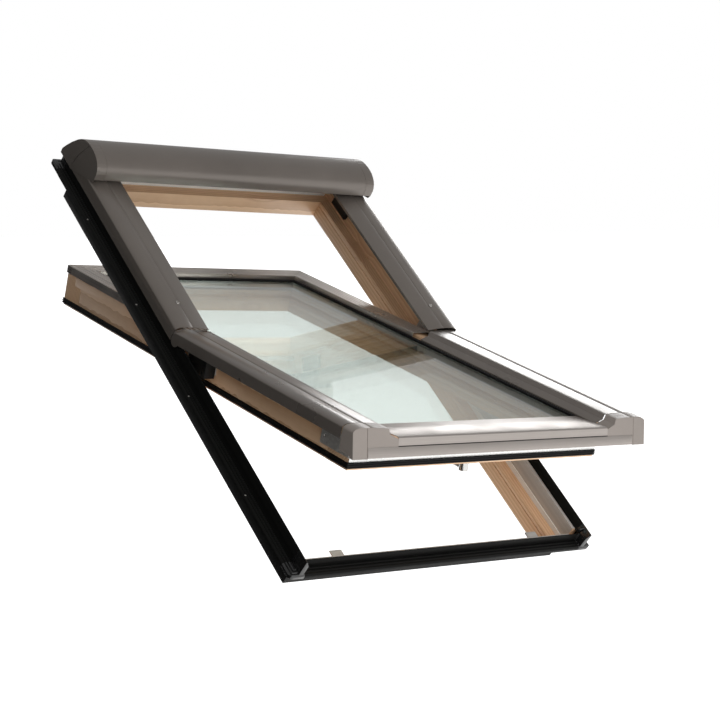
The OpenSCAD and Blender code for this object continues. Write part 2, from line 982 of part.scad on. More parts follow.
// The space behind the raked front, set back by a given amount.
module behind_front(back) {
    high_n = cover_line + 20;
    across(cap_joint_x - 2, leg_x + 4)
        polygon([
            [front_u(high_n) + back, high_n], [front_u(front_low_n - 9) + back, front_low_n - 9],
            [cap_start_u + back, front_low_n - 9], [cap_start_u + back, high_n]
        ]);
}

// Moulded cap that closes the corner of the side and bottom covers.
module corner_cap() {
    outer = shifted(cap_points(), -sheet);
    inner = cap_points();
    color(CLADDING)
        difference() {
            intersection() {
                along_slope(front_low_u - 5, cap_start_u)
                    polygon(concat([[cap_joint_x, front_low_n]], [[leg_x + sheet, front_low_n]], outer));
                behind_front(0);
            }
            intersection() {
                along_slope(front_low_u - 5, cap_start_u + 1)
                    polygon(concat(
                        [[cap_joint_x - 1, front_low_n - 1]], [[leg_x, front_low_n - 1]], inner,
                        [[cap_joint_x - 1, inner[len(inner) - 1][1]]]
                    ));
                behind_front(sheet);
            }
            box([cap_joint_x - 1, front_low_u - 5, front_low_n - 1],
                [strip_x + fit, cap_start_u + 1, band_low_n]);
            box([cap_joint_x - 1, -half_length - 1, front_low_n - 1],
                [leg_x + 2, cap_start_u + 1, profile_base + 3]);
            intersection() {
                behind_front(-1);
                box([strip_x + fit + 1, front_low_u - 5, front_low_n - 1],
                    [strip_x + fit + 3, front_top_u + 9, cover_line]);
                difference() {
                    behind_front(-1);
                    behind_front(groove_depth);
                }
            }
        }
}

// ---------------------------------------------------------------- seals of the sash

seal_edge = 3;

module sash_band(reach, low_n, high_n) {
    outward(low_n, high_n)
        band(sash_x + reach, sash_low_u - reach, sash_top_u + reach, sash_x, sash_low_u, sash_top_u);
}

// Rubber around the sash: a base and two lips that face the frame.
module sash_seal() {
    low = room_n + seal_edge;
    color(BLACK) {
        sash_band(1.5, low, low + seal_height);
        for (lip = [1, 5, 9])
            sash_band(2.8, low + lip, low + lip + 2);
    }
}

// Metal strip along the bottom rail that closes off the top of the seal.
module seal_carrier() {
    low = room_n + seal_edge + seal_height;
    color(LIGHT_METAL)
        across(-sash_x, sash_x)
            polygon([
                [sash_low_u, low], [sash_low_u, low + carrier_height], [sash_low_u - 3, low + carrier_height],
                [sash_low_u - 3, low + carrier_height - 2], [sash_low_u - 1.5, low + carrier_height - 2],
                [sash_low_u - 1.5, low]
            ]);
}

// ---------------------------------------------------------------- lock

// Angle drive around the lower corner of the sash, with a blank plate on its face.
module corner_drive() {
    color(STEEL) {
        difference() {
            box([sash_x, sash_low_u - drive_thickness, ledge_n + 3],
                [sash_x + drive_thickness, sash_low_u + drive_length, ledge_n + 37]);
            for (place_u = [sash_low_u + 12, sash_low_u + drive_length - 12])
                translate([0, place_u, 0])
                    round_across(sash_x + drive_thickness - 2, sash_x + drive_thickness + 1, 3);
        }
        box([sash_x - drive_corner, sash_low_u - drive_thickness, ledge_n + 6],
            [sash_x, sash_low_u, ledge_n + 26]);
    }
}

module lock_gear_case() {
    color(STEEL)
        difference() {
            box([-case_half, sash_low_u - 1, case_low_n], [case_half, sash_low_u + case_depth, case_high_n]);
            translate([0, handle_u, case_low_n - 1])
                cylinder(d = spindle_diameter + 2 * pin_clearance, h = case_high_n - case_low_n - 2);
        }
}

// Rod along the outside of the bottom rail, with the cam that passes behind the keep.
module lock_rod() {
    face_u = sash_low_u - fit;
    color(STEEL) {
        box([rod_start_x, face_u - rod_thickness, rod_n - rod_height / 2],
            [rod_end_x, face_u, rod_n + rod_height / 2]);
        translate([cam_x, face_u - rod_thickness + 1, rod_n])
            rotate([90, 0, 0])
                cylinder(r = cam_radius, h = cam_length + 1);
    }
}

// Hooks on the sill's lining: the cams slide in under their lips.
module lock_keeps() {
    start_x = cam_x + cam_radius + 3.5;
    end_x = start_x + 28;
    face_u = -wall_u + liner_thickness;
    lip_n = rod_n + cam_radius + 3;
    color(STEEL)
        both_sides() {
            box([start_x, face_u, lining_low_n + 1], [end_x, face_u + 2, lip_n + 3]);
            box([start_x, face_u + 2, lip_n], [end_x, sash_low_u - drive_thickness - 5, lip_n + 3]);
        }
}

module handle_base() {
    color(LIGHT_METAL)
        difference() {
            box([-13, handle_u - 20, room_n - handle_plate], [13, handle_u + 20, room_n]);
            translate([0, handle_u, room_n - handle_plate - 1])
                cylinder(d = spindle_diameter + 2 * pin_clearance, h = handle_plate + 2);
        }
}

// Handle in the unlocked place: the grip points up the slope.
module handle() {
    base_n = room_n - handle_plate - fit;
    grip = 6;
    color(LIGHT_METAL)
        translate([0, handle_u, base_n]) {
            translate([0, 0, -neck])
                cylinder(d = spindle_diameter, h = neck + case_high_n - base_n - 6);
            translate([0, 0, -neck - 2 * grip])
                cylinder(r = 9, h = neck + 2 * grip);
            translate([0, 0, -neck - grip])
                rotate([-90, 0, 0])
                    cylinder(r = grip, h = handle_length - grip);
            translate([0, handle_length - grip, -neck - grip])
                sphere(r = grip);
        }
}

// ---------------------------------------------------------------- the window

frame_place() frame_head_rail();
frame_place() frame_sill_rail();
frame_place() mirrored() frame_jamb();  // frame_jamb_left
frame_place() frame_jamb();  // frame_jamb_right
frame_place() drain_profile_end(frame_rise);  // drain_profile_top
frame_place() upside_down() drain_profile_end(sill_rise);  // drain_profile_bottom
frame_place() mirrored() drain_profile_side();  // drain_profile_left
frame_place() drain_profile_side();  // drain_profile_right
frame_place() mirrored() upside_down() profile_corner(sill_rise, half_length - 2);  // profile_corner_bottom_left
frame_place() upside_down() profile_corner(sill_rise, half_length - 2);  // profile_corner_bottom_right
frame_place() mirrored() profile_corner(frame_rise, half_length - 8);  // profile_corner_top_left
frame_place() profile_corner(frame_rise, half_length - 8);  // profile_corner_top_right
frame_place() mirrored() rebate_lining_side();  // rebate_lining_left
frame_place() rebate_lining_side();  // rebate_lining_right
frame_place() rebate_lining_sill();
frame_place() foam_strips();
frame_place() hood();
frame_place() mirrored() hood_end_cap();  // hood_end_cap_left
frame_place() hood_end_cap();  // hood_end_cap_right
frame_place() hood_clips();
frame_place() corner_blocks();
frame_place() mirrored() upper_cover();  // upper_cover_left
frame_place() upper_cover();  // upper_cover_right
frame_place() upper_cover_gaskets();
sash_place() hinge_housings();
frame_place() cover_screws();
frame_place() mirrored() frame_hinge();  // frame_hinge_left
frame_place() frame_hinge();  // frame_hinge_right
frame_place() hinge_plate_screws();
frame_place() lock_keeps();
sash_place() sash_top_rail();
sash_place() sash_bottom_rail();
sash_place() mirrored() sash_stile();  // sash_stile_left
sash_place() sash_stile();  // sash_stile_right
sash_place() pane_of_glass(glass_n - pane);  // glass_outer_pane
sash_place() pane_of_glass(glass_back_n);  // glass_inner_pane
sash_place() glass_spacer();
sash_place() glass_edge_seal();
sash_place() setting_blocks();
sash_place() top_glazing_bar();
sash_place() mirrored() glazing_bar();  // glazing_bar_left
sash_place() glazing_bar();  // glazing_bar_right
sash_place() glazing_gasket();
sash_place() mirrored() lower_cover();  // lower_cover_left
sash_place() lower_cover();  // lower_cover_right
sash_place() bottom_cover();
sash_place() drip_strip();
sash_place() mirrored() corner_cap();  // corner_cap_left
sash_place() corner_cap();  // corner_cap_right
sash_place() sash_seal();
sash_place() seal_carrier();
sash_place() mirrored() sash_hinge();  // sash_hinge_left
sash_place() sash_hinge();  // sash_hinge_right
sash_place() mirrored() corner_drive();  // corner_drive_left
sash_place() corner_drive();  // corner_drive_right
sash_place() lock_gear_case();
sash_place() mirrored() lock_rod();  // lock_rod_left
sash_place() lock_rod();  // lock_rod_right
sash_place() handle_base();
sash_place() handle();
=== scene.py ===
"""Looks of a centre-pivot roof window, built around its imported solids.

Places are given in the plane of the window, in millimetres: x across, u up the slope, n outward.
The sash has the same kind of plane, turned about the hinge pins.
"""

import json
import logging
import math
from collections.abc import Callable, Iterable, Sequence
from dataclasses import dataclass
from enum import Enum

import bmesh
import bpy
from mathutils import Matrix, Vector


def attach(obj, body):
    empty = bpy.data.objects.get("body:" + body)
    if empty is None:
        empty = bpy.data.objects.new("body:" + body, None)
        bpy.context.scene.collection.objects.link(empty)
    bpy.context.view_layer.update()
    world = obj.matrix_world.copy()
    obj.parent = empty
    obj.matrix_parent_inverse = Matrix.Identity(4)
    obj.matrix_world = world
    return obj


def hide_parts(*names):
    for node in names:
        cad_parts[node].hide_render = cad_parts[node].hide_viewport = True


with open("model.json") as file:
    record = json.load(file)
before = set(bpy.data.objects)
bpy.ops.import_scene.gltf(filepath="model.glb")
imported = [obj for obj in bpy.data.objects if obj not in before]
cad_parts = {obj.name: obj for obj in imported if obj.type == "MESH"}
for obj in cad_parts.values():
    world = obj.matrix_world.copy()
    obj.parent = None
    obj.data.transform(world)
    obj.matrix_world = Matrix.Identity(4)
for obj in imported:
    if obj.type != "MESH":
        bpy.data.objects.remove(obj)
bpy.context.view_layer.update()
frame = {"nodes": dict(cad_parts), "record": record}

log = logging.getLogger("roof_window")

Colour = tuple[float, float, float]
Place = tuple[float, float, float]
Socket = bpy.types.NodeSocket

SIDES = ("left", "right")
METRES_PER_MM = 0.001


class Plane(Enum):
    """Which plane a piece is laid out in."""

    FRAME = "frame"
    SASH = "sash"


class Run(Enum):
    """The way a bar runs, which its grain or its drawn lines follow."""

    ACROSS = "across"
    UP_SLOPE = "up_slope"


class Side(Enum):
    """One of the two mirrored sides, with its sign on x."""

    LEFT = -1
    RIGHT = 1


@dataclass(frozen=True)
class Layout:
    """The two planes of the window and how they lie in the row frame."""

    pitch: float = math.radians(45.0)
    open_angle: float = math.radians(26.5)
    seat_u: float = 579.0
    pivot_u: float = -6.0
    pivot_n: float = 39.5

    def tilt(self, plane: Plane) -> float:
        """Returns the angle of a plane to the ground, in radians."""
        return self.pitch if plane is Plane.FRAME else self.pitch - self.open_angle

    def matrix(self, plane: Plane) -> Matrix:
        """Builds the matrix from millimetres in a plane to metres in the row frame.

        Args:
            plane: The plane that the points are given in.

        Returns:
            A 4 by 4 matrix.
        """
        seat = Matrix.Translation((0, self.seat_u, 0))
        to_row = Matrix.Scale(METRES_PER_MM, 4) @ Matrix.Rotation(self.pitch, 4, "X") @ seat
        if plane is Plane.FRAME:
            return to_row
        pin = Vector((0, self.pivot_u, self.pivot_n))
        turn = Matrix.Rotation(-self.open_angle, 4, "X")
        return to_row @ Matrix.Translation(pin) @ turn @ Matrix.Translation(-pin)


LAYOUT = Layout()


# ---------------------------------------------------------------- shader building blocks


class Shader:
    """A thin wrapper round a node tree that adds nodes and joins them in one call."""

    def __init__(self, tree: bpy.types.NodeTree) -> None:
        """Wraps a node tree."""
        self.tree = tree

    def node(
        self, kind: str, values: dict[str | int, object] | None = None, **settings: object
    ) -> bpy.types.Node:
        """Adds one node.

        Args:
            kind: Blender's name of the node type.
            values: Input name or number, to a plain value or to a socket that feeds it.
            settings: Attributes of the node itself.

        Returns:
            The new node.
        """
        made = self.tree.nodes.new(kind)
        for name, value in settings.items():
            setattr(made, name, value)
        for key, value in (values or {}).items():
            if isinstance(value, bpy.types.NodeSocket):
                self.tree.links.new(value, made.inputs[key])
            else:
                made.inputs[key].default_value = value
        return made

    def math(self, operation: str, *terms: object) -> Socket:
        """Adds a Math node on one to three terms and returns its output."""
        return self.node("ShaderNodeMath", dict(enumerate(terms)), operation=operation).outputs[0]

    def blend(self, factor: object, first: object, second: object, mode: str = "MIX") -> Socket:
        """Adds a colour Mix node and returns its output."""
        values = {0: factor, 6: first, 7: second}
        return self.node("ShaderNodeMix", values, data_type="RGBA", blend_type=mode).outputs[2]

    def ramp(
        self, value: Socket, low: float, high: float, to_low: float = 0.0, to_high: float = 1.0
    ) -> Socket:
        """Adds a clamped Map Range node and returns its output."""
        values = {0: value, 1: low, 2: high, 3: to_low, 4: to_high}
        return self.node("ShaderNodeMapRange", values, clamp=True).outputs[0]

    def scaled(self, vector: Socket, scale: Sequence[float]) -> Socket:
        """Adds a Mapping node that scales coordinates and returns its output."""
        return self.node("ShaderNodeMapping", {"Vector": vector, "Scale": scale}).outputs[0]

    def vector_math(self, operation: str, vector: Socket, other: object) -> Socket:
        """Adds a Vector Math node and returns its output."""
        return self.node("ShaderNodeVectorMath", {0: vector, 1: other}, operation=operation).outputs[0]

    def grey(self, shade: Socket) -> Socket:
        """Joins one value into a grey and returns it."""
        return self.node("ShaderNodeCombineColor", {0: shade, 1: shade, 2: shade}).outputs[0]

    def noise(
        self, vector: Socket, scale: object, detail: float = 3.0, roughness: float = 0.5
    ) -> Socket:
        """Adds a Noise Texture and returns its value."""
        values = {"Vector": vector, "Scale": scale, "Detail": detail, "Roughness": roughness}
        return self.node("ShaderNodeTexNoise", values).outputs[0]


class EffectGroup:
    """A shader node group that several materials share, built once."""

    OUTPUTS = {"Color": "Color", "Roughness": "Float", "Height": "Float"}
    made: dict[str, bpy.types.NodeTree] = {}

    @classmethod
    def get(
        cls,
        name: str,
        inputs: dict[str, str],
        build: Callable[[Shader, dict[str, Socket]], dict[str, Socket]],
    ) -> bpy.types.NodeTree:
        """Returns the group of that name, and builds it the first time.

        Args:
            name: The group's name.
            inputs: Input name to the kind of its socket.
            build: Makes the nodes from the inputs' sockets and returns the outputs' sockets.

        Returns:
            The node group.
        """
        if name in cls.made:
            return cls.made[name]
        tree = bpy.data.node_groups.new(name, "ShaderNodeTree")
        for way, sockets in (("INPUT", inputs), ("OUTPUT", cls.OUTPUTS)):
            for key, kind in sockets.items():
                tree.interface.new_socket(key, in_out=way, socket_type=f"NodeSocket{kind}")
        shader = Shader(tree)
        entry = tree.nodes.new("NodeGroupInput")
        leave = tree.nodes.new("NodeGroupOutput")
        results = build(shader, {key: entry.outputs[key] for key in inputs})
        for key, socket in results.items():
            tree.links.new(socket, leave.inputs[key])
        cls.made[name] = tree
        return tree


GRAIN_STRETCH = (0.55, 7.0, 7.0)
GRAIN_DRIFT = (0.02, 0.02, 0.02)
GRAIN_HEART = (0.0, 0.11, -0.16)
FIBRE_STRETCH = (14.0, 900.0, 900.0)
KNOT_CELLS = (5.0, 14.0, 14.0)
KNOT_RARITY = 0.62
KNOT_BULGE = 0.012
PEBBLE_FLECKS = 2600.0
FINE_LINES = (2.0, 1400.0, 1400.0)
BROAD_LINES = (0.8, 160.0, 160.0)


def grain_group() -> bpy.types.NodeTree:
    """Returns the pine grain group: growth rings, fibres and a few knots along the first axis."""

    def build(s: Shader, i: dict[str, Socket]) -> dict[str, Socket]:
        """Makes the nodes of the grain."""
        stretched = s.scaled(i["Vector"], GRAIN_STRETCH)
        slow = {"Vector": stretched, "Scale": 1.0, "Detail": 3.0}
        drift = s.node("ShaderNodeTexNoise", slow).outputs[1]
        cells = s.scaled(i["Vector"], KNOT_CELLS)
        knots = s.node("ShaderNodeTexVoronoi", {"Vector": cells, "Scale": 1.0, "Randomness": 0.9})
        chance = s.node("ShaderNodeSeparateColor", {0: knots.outputs["Color"]}).outputs[0]
        rare = s.math("GREATER_THAN", chance, KNOT_RARITY)
        away = knots.outputs["Distance"]
        near = s.math("MULTIPLY", s.ramp(away, low=0.05, high=0.34, to_low=1.0, to_high=0.0), rare)
        core = s.math("MULTIPLY", s.ramp(away, low=0.06, high=0.13, to_low=1.0, to_high=0.0), rare)
        bent = s.vector_math("ADD", i["Vector"], s.vector_math("MULTIPLY", drift, GRAIN_DRIFT))
        bent = s.vector_math("ADD", bent, s.math("MULTIPLY", near, KNOT_BULGE))
        centred = s.node("ShaderNodeMapping", {"Vector": bent, "Location": GRAIN_HEART}).outputs[0]
        rings = s.node(
            "ShaderNodeTexWave",
            {"Vector": centred, "Scale": i["Rings"], "Distortion": 0.9, "Detail": 0.0},
            wave_type="RINGS",
            rings_direction="X",
            wave_profile="SAW",
        ).outputs[1]
        fibre = s.noise(s.scaled(i["Vector"], FIBRE_STRETCH), scale=1.0, detail=4.0, roughness=0.6)
        cloud = s.noise(stretched, scale=1.7, detail=2.0)
        dark = s.math("ADD", s.math("MULTIPLY", rings, 0.62), s.math("MULTIPLY", fibre, 0.42))
        dark = s.math("ADD", dark, s.math("MULTIPLY", cloud, 0.35))
        colour = s.blend(s.ramp(dark, low=0.30, high=1.15), i["Light"], i["Dark"])
        colour = s.blend(s.math("MULTIPLY", near, 0.45), colour, i["Knot"])
        colour = s.blend(s.math("MULTIPLY", core, 0.75), colour, i["Knot"])
        height = s.math("ADD", s.math("MULTIPLY", fibre, 0.6), s.math("MULTIPLY", rings, 0.4))
        rough = s.ramp(fibre, low=0.3, high=0.7, to_low=0.34, to_high=0.52)
        return {"Color": colour, "Height": height, "Roughness": rough}

    inputs = {"Vector": "Vector", "Light": "Color", "Dark": "Color", "Knot": "Color", "Rings": "Float"}
    return EffectGroup.get("pine_grain", inputs, build)


def lacquer_group() -> bpy.types.NodeTree:
    """Returns the lacquer group: a fine pebbled skin with slow clouds of tone and gloss."""

    def build(s: Shader, i: dict[str, Socket]) -> dict[str, Socket]:
        """Makes the nodes of the lacquer."""
        pebble = s.noise(i["Vector"], scale=i["Pebble"], detail=2.0, roughness=0.6)
        cloud = s.noise(i["Vector"], scale=7.0, detail=4.0, roughness=0.55)
        fleck = s.ramp(s.noise(i["Vector"], scale=PEBBLE_FLECKS, detail=1.0), low=0.62, high=0.72)
        shade = s.ramp(cloud, low=0.3, high=0.7, to_low=0.92, to_high=1.06)
        shade = s.math("ADD", shade, s.math("MULTIPLY", fleck, 0.10))
        colour = s.blend(1.0, i["Color"], s.grey(shade), "MULTIPLY")
        change = s.ramp(cloud, low=0.3, high=0.7, to_low=-0.05, to_high=0.06)
        rough = s.math("ADD", i["Roughness"], change)
        return {"Color": colour, "Roughness": rough, "Height": pebble}

    inputs = {"Vector": "Vector", "Color": "Color", "Roughness": "Float", "Pebble": "Float"}
    return EffectGroup.get("lacquer_skin", inputs, build)


def drawn_group() -> bpy.types.NodeTree:
    """Returns the drawn-line group: fine lines along the first axis, as on rolled and extruded bars."""

    def build(s: Shader, i: dict[str, Socket]) -> dict[str, Socket]:
        """Makes the nodes of the drawn lines."""
        fine = s.noise(s.scaled(i["Vector"], FINE_LINES), scale=1.0, detail=3.0, roughness=0.6)
        broad = s.noise(s.scaled(i["Vector"], BROAD_LINES), scale=1.0, detail=2.0, roughness=0.5)
        smudge = s.noise(i["Vector"], scale=16.0, detail=3.0, roughness=0.6)
        swings = [s.ramp(lines, low=0.3, high=0.7, to_low=-0.5, to_high=0.5) for lines in (broad, fine)]
        shade = s.math("ADD", 1.0, s.math("MULTIPLY", s.math("ADD", *swings), i["Strength"]))
        colour = s.blend(1.0, i["Color"], s.grey(shade), "MULTIPLY")
        change = s.ramp(smudge, low=0.35, high=0.7, to_low=-0.03, to_high=0.09)
        rough = s.math("ADD", i["Roughness"], change)
        height = s.math("ADD", s.math("MULTIPLY", fine, 0.5), s.math("MULTIPLY", broad, 0.5))
        return {"Color": colour, "Roughness": rough, "Height": height}

    inputs = {"Vector": "Vector", "Color": "Color", "Roughness": "Float", "Strength": "Float"}
    return EffectGroup.get("drawn_lines", inputs, build)


# ---------------------------------------------------------------- finishes


@dataclass(frozen=True)
class Finish:
    """What every finish has in common: a name and the plane and run that its pattern follows."""

    name: str
    plane: Plane = Plane.FRAME
    run: Run = Run.ACROSS

    def start(self) -> tuple[bpy.types.Material, Shader, bpy.types.Node, Socket]:
        """Makes an empty material.

        Returns:
            The material, its shader wrapper, its Principled node, and coordinates that follow the run.
        """
        material = bpy.data.materials.new(self.name)
        material.use_nodes = True
        tree = material.node_tree
        tree.nodes.clear()
        shader = Shader(tree)
        surface = shader.node("ShaderNodeBsdfPrincipled")
        leave = shader.node("ShaderNodeOutputMaterial")
        tree.links.new(surface.outputs[0], leave.inputs[0])
        place = shader.node("ShaderNodeTexCoord").outputs["Object"]
        level = (-LAYOUT.tilt(self.plane), 0.0, 0.0)
        along = shader.node("ShaderNodeMapping", {"Vector": place, "Rotation": level}).outputs[0]
        if self.run is Run.UP_SLOPE:
            turn = (0.0, 0.0, -math.pi / 2)
            along = shader.node("ShaderNodeMapping", {"Vector": along, "Rotation": turn}).outputs[0]
        return material, shader, surface, along

    def wear(
        self, group: bpy.types.NodeTree, values: dict[str | int, object], strength: float, depth: float
    ) -> tuple[bpy.types.Material, bpy.types.Node]:
        """Makes a material whose colour, gloss and relief come from an effect group.

        Args:
            group: The effect group.
            values: Its input names and their values.
            strength: How strongly the relief shows.
            depth: What a height of 1 means, in metres.

        Returns:
            The material and its Principled node.
        """
        material, shader, surface, along = self.start()
        skin = shader.node("ShaderNodeGroup", {"Vector": along, **values}, node_tree=group)
        shader.tree.links.new(skin.outputs["Color"], surface.inputs["Base Color"])
        shader.tree.links.new(skin.outputs["Roughness"], surface.inputs["Roughness"])
        relief = {"Strength": strength, "Distance": depth, "Height": skin.outputs["Height"]}
        normal = shader.node("ShaderNodeBump", relief).outputs[0]
        shader.tree.links.new(normal, surface.inputs["Normal"])
        return material, surface

    def build(self) -> bpy.types.Material:
        """Makes the material. Each finish has its own."""
        raise NotImplementedError


def rgba(colour: Colour) -> tuple[float, float, float, float]:
    """Returns a colour with full alpha."""
    return (*colour, 1.0)


@dataclass(frozen=True)
class Pine(Finish):
    """Lacquered pine with its grain along the bar."""

    light: Colour = (0.90, 0.62, 0.40)
    dark: Colour = (0.60, 0.345, 0.18)
    knot: Colour = (0.36, 0.13, 0.06)
    rings: float = 55.0
    strength: float = 0.25
    depth: float = 0.0004
    coat: float = 0.25
    coat_roughness: float = 0.25

    def build(self) -> bpy.types.Material:
        """Makes the pine."""
        values = {
            "Light": rgba(self.light),
            "Dark": rgba(self.dark),
            "Knot": rgba(self.knot),
            "Rings": self.rings,
        }
        material, surface = self.wear(grain_group(), values, self.strength, self.depth)
        surface.inputs["Coat Weight"].default_value = self.coat
        surface.inputs["Coat Roughness"].default_value = self.coat_roughness
        return material


@dataclass(frozen=True)
class Coated(Finish):
    """A lacquered or moulded skin: colour, gloss and how metallic it looks."""

    colour: Colour = (0.2, 0.17, 0.15)
    roughness: float = 0.36
    metallic: float = 0.0
    pebble: float = 900.0
    depth: float = 0.00012
    strength: float = 0.3
    coat: float = 0.0
    coat_roughness: float = 0.2
    specular: float = 0.5

    def build(self) -> bpy.types.Material:
        """Makes the coated material."""
        values = {"Color": rgba(self.colour), "Roughness": self.roughness, "Pebble": self.pebble}
        material, surface = self.wear(lacquer_group(), values, self.strength, self.depth)
        surface.inputs["Metallic"].default_value = self.metallic
        surface.inputs["Specular IOR Level"].default_value = self.specular
        surface.inputs["Coat Weight"].default_value = self.coat
        surface.inputs["Coat Roughness"].default_value = self.coat_roughness
        return material


@dataclass(frozen=True)
class Drawn(Finish):
    """A drawn, rolled or extruded bar with fine lines along it."""

    colour: Colour = (0.5, 0.48, 0.45)
    roughness: float = 0.3
    metallic: float = 1.0
    lines: float = 0.2
    strength: float = 0.3
    depth: float = 0.00004
    specular: float = 0.5

    def build(self) -> bpy.types.Material:
        """Makes the drawn material."""
        values = {"Color": rgba(self.colour), "Roughness": self.roughness, "Strength": self.lines}
        material, surface = self.wear(drawn_group(), values, self.strength, self.depth)
        surface.inputs["Metallic"].default_value = self.metallic
        surface.inputs["Specular IOR Level"].default_value = self.specular
        return material


@dataclass(frozen=True)
class Glass(Finish):
    """Clear float glass."""

    colour: Colour = (0.93, 0.985, 0.955)
    index: float = 1.5
    film: float = 0.012

    def build(self) -> bpy.types.Material:
        """Makes the glass."""
        material, shader, surface, along = self.start()
        cloud = shader.noise(along, scale=3.0, detail=4.0)
        haze = shader.ramp(cloud, low=0.45, high=0.75, to_low=0.0, to_high=self.film)
        shader.tree.links.new(haze, surface.inputs["Roughness"])
        surface.inputs["Base Color"].default_value = rgba(self.colour)
        surface.inputs["Transmission Weight"].default_value = 1.0
        surface.inputs["IOR"].default_value = self.index
        return material


WARM_GREY: Colour = (0.165, 0.143, 0.125)
SILVER: Colour = (0.46, 0.42, 0.385)
ZINC: Colour = (0.50, 0.48, 0.45)

BLACK_PLASTIC = Coated(
    "black_plastic", colour=(0.014, 0.014, 0.014), roughness=0.45, strength=0.4, specular=0.25
)
RUBBER = Coated("rubber", colour=(0.008, 0.008, 0.008), roughness=0.5, strength=0.3, specular=0.12)
SCREW_STEEL = Coated("screw_steel", colour=ZINC, metallic=1.0, roughness=0.25)
ZINC_PLATE = Drawn(
    "zinc_plate",
    Plane.SASH,
    Run.ACROSS,
    colour=(0.60, 0.58, 0.55),
    roughness=0.34,
    metallic=0.6,
    lines=0.25,
)


class FinishBook:
    """All the finishes of the window, each made once."""

    def __init__(self) -> None:
        """Starts an empty book."""
        self.made: dict[Finish, bpy.types.Material] = {}

    def get(self, finish: Finish) -> bpy.types.Material:
        """Returns the material of a finish, and makes it the first time."""
        if finish not in self.made:
            self.made[finish] = finish.build()
        return self.made[finish]


BOOK = FinishBook()


# ---------------------------------------------------------------- nodes


BODY_OF: dict[str, str] = {
    node: body for body, nodes in frame["record"]["behaviour"]["bodies"].items() for node in nodes
}


@dataclass(frozen=True)
class Easing:
    """How the edges of a solid are eased.

    Args:
        width: Width of the eased edge, in metres.
        segments: Steps across it.
        sharp: Edges that turn more than this are eased, in degrees.
    """

    width: float = 0.0005
    segments: int = 2
    sharp: float = 34.0


WOOD_EDGE = Easing(width=0.0012)
SHEET_EDGE = Easing(width=0.0003, segments=1, sharp=40.0)
MOULDED_EDGE = Easing(width=0.0006)
EASE_PROFILE = 0.6
WELD_DISTANCE = 2e-6
FLAT_ANGLE = math.radians(0.3)


def shade(mesh: bpy.types.Mesh, angle: float = 28.0) -> None:
    """Shades a mesh smooth and keeps every edge that turns more than an angle, in degrees."""
    mesh.polygons.foreach_set("use_smooth", [True] * len(mesh.polygons))
    mesh.set_sharp_from_angle(angle=math.radians(angle))


def settle(name: str, mesh: bpy.types.Mesh, node: str, stands_for: bool) -> None:
    """Makes a piece of a mesh, hangs it on the body of a node, and hides the node when the piece stands
    for it.

    Args:
        name: The new piece's name.
        mesh: Its mesh, in place, in metres.
        node: The node that it belongs to.
        stands_for: Whether it is shown in place of the node.
    """
    piece = bpy.data.objects.new(name, mesh)
    bpy.context.scene.collection.objects.link(piece)
    if stands_for:
        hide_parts(node)
    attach(piece, BODY_OF[node])


def dress(node: str, finish: Finish, easing: Easing | None = None) -> None:
    """Gives a node its finish, on the solid itself or on a copy with eased edges.

    Args:
        node: The node's name.
        finish: What it is made of.
        easing: How its edges are eased, or None to keep the solid as it is.
    """
    source = frame["nodes"][node]
    material = BOOK.get(finish)
    if easing is None:
        source.data.materials.clear()
        source.data.materials.append(material)
        return
    tool = bmesh.new()
    tool.from_mesh(source.data)
    bmesh.ops.remove_doubles(tool, verts=tool.verts[:], dist=WELD_DISTANCE)
    bmesh.ops.dissolve_limit(tool, angle_limit=FLAT_ANGLE, verts=tool.verts[:], edges=tool.edges[:])
    limit = math.radians(easing.sharp)
    edges = [e for e in tool.edges if len(e.link_faces) == 2 and e.calc_face_angle(0.0) > limit]
    bmesh.ops.bevel(
        tool,
        geom=edges,
        offset=easing.width,
        offset_type="OFFSET",
        segments=easing.segments,
        profile=EASE_PROFILE,
        affect="EDGES",
        clamp_overlap=True,
    )
    mesh = bpy.data.meshes.new(f"eased_{node}")
    tool.to_mesh(mesh)
    tool.free()
    shade(mesh)
    mesh.materials.append(material)
    settle(f"eased_{node}", mesh, node, stands_for=True)
    log.info("%s wears %s on %d faces", node, finish.name, len(mesh.polygons))


# ---------------------------------------------------------------- small repeated parts


class Head(Enum):
    """What is cut into the head of a screw or nail."""

    STAR = "star"
    PLAIN = "plain"


# Shares of the radius and of the height, from the foot of a head to its crown.
HEAD_OUTLINE = ((1.0, 0.0), (1.0, 0.35), (0.95, 0.62), (0.80, 0.86), (0.60, 0.97), (0.46, 1.0))
SOCKET_REACH = 0.40
SOCKET_RISES = (0.98, 0.45)
STAR_WAVE = 0.16
STAR_POINTS = 6


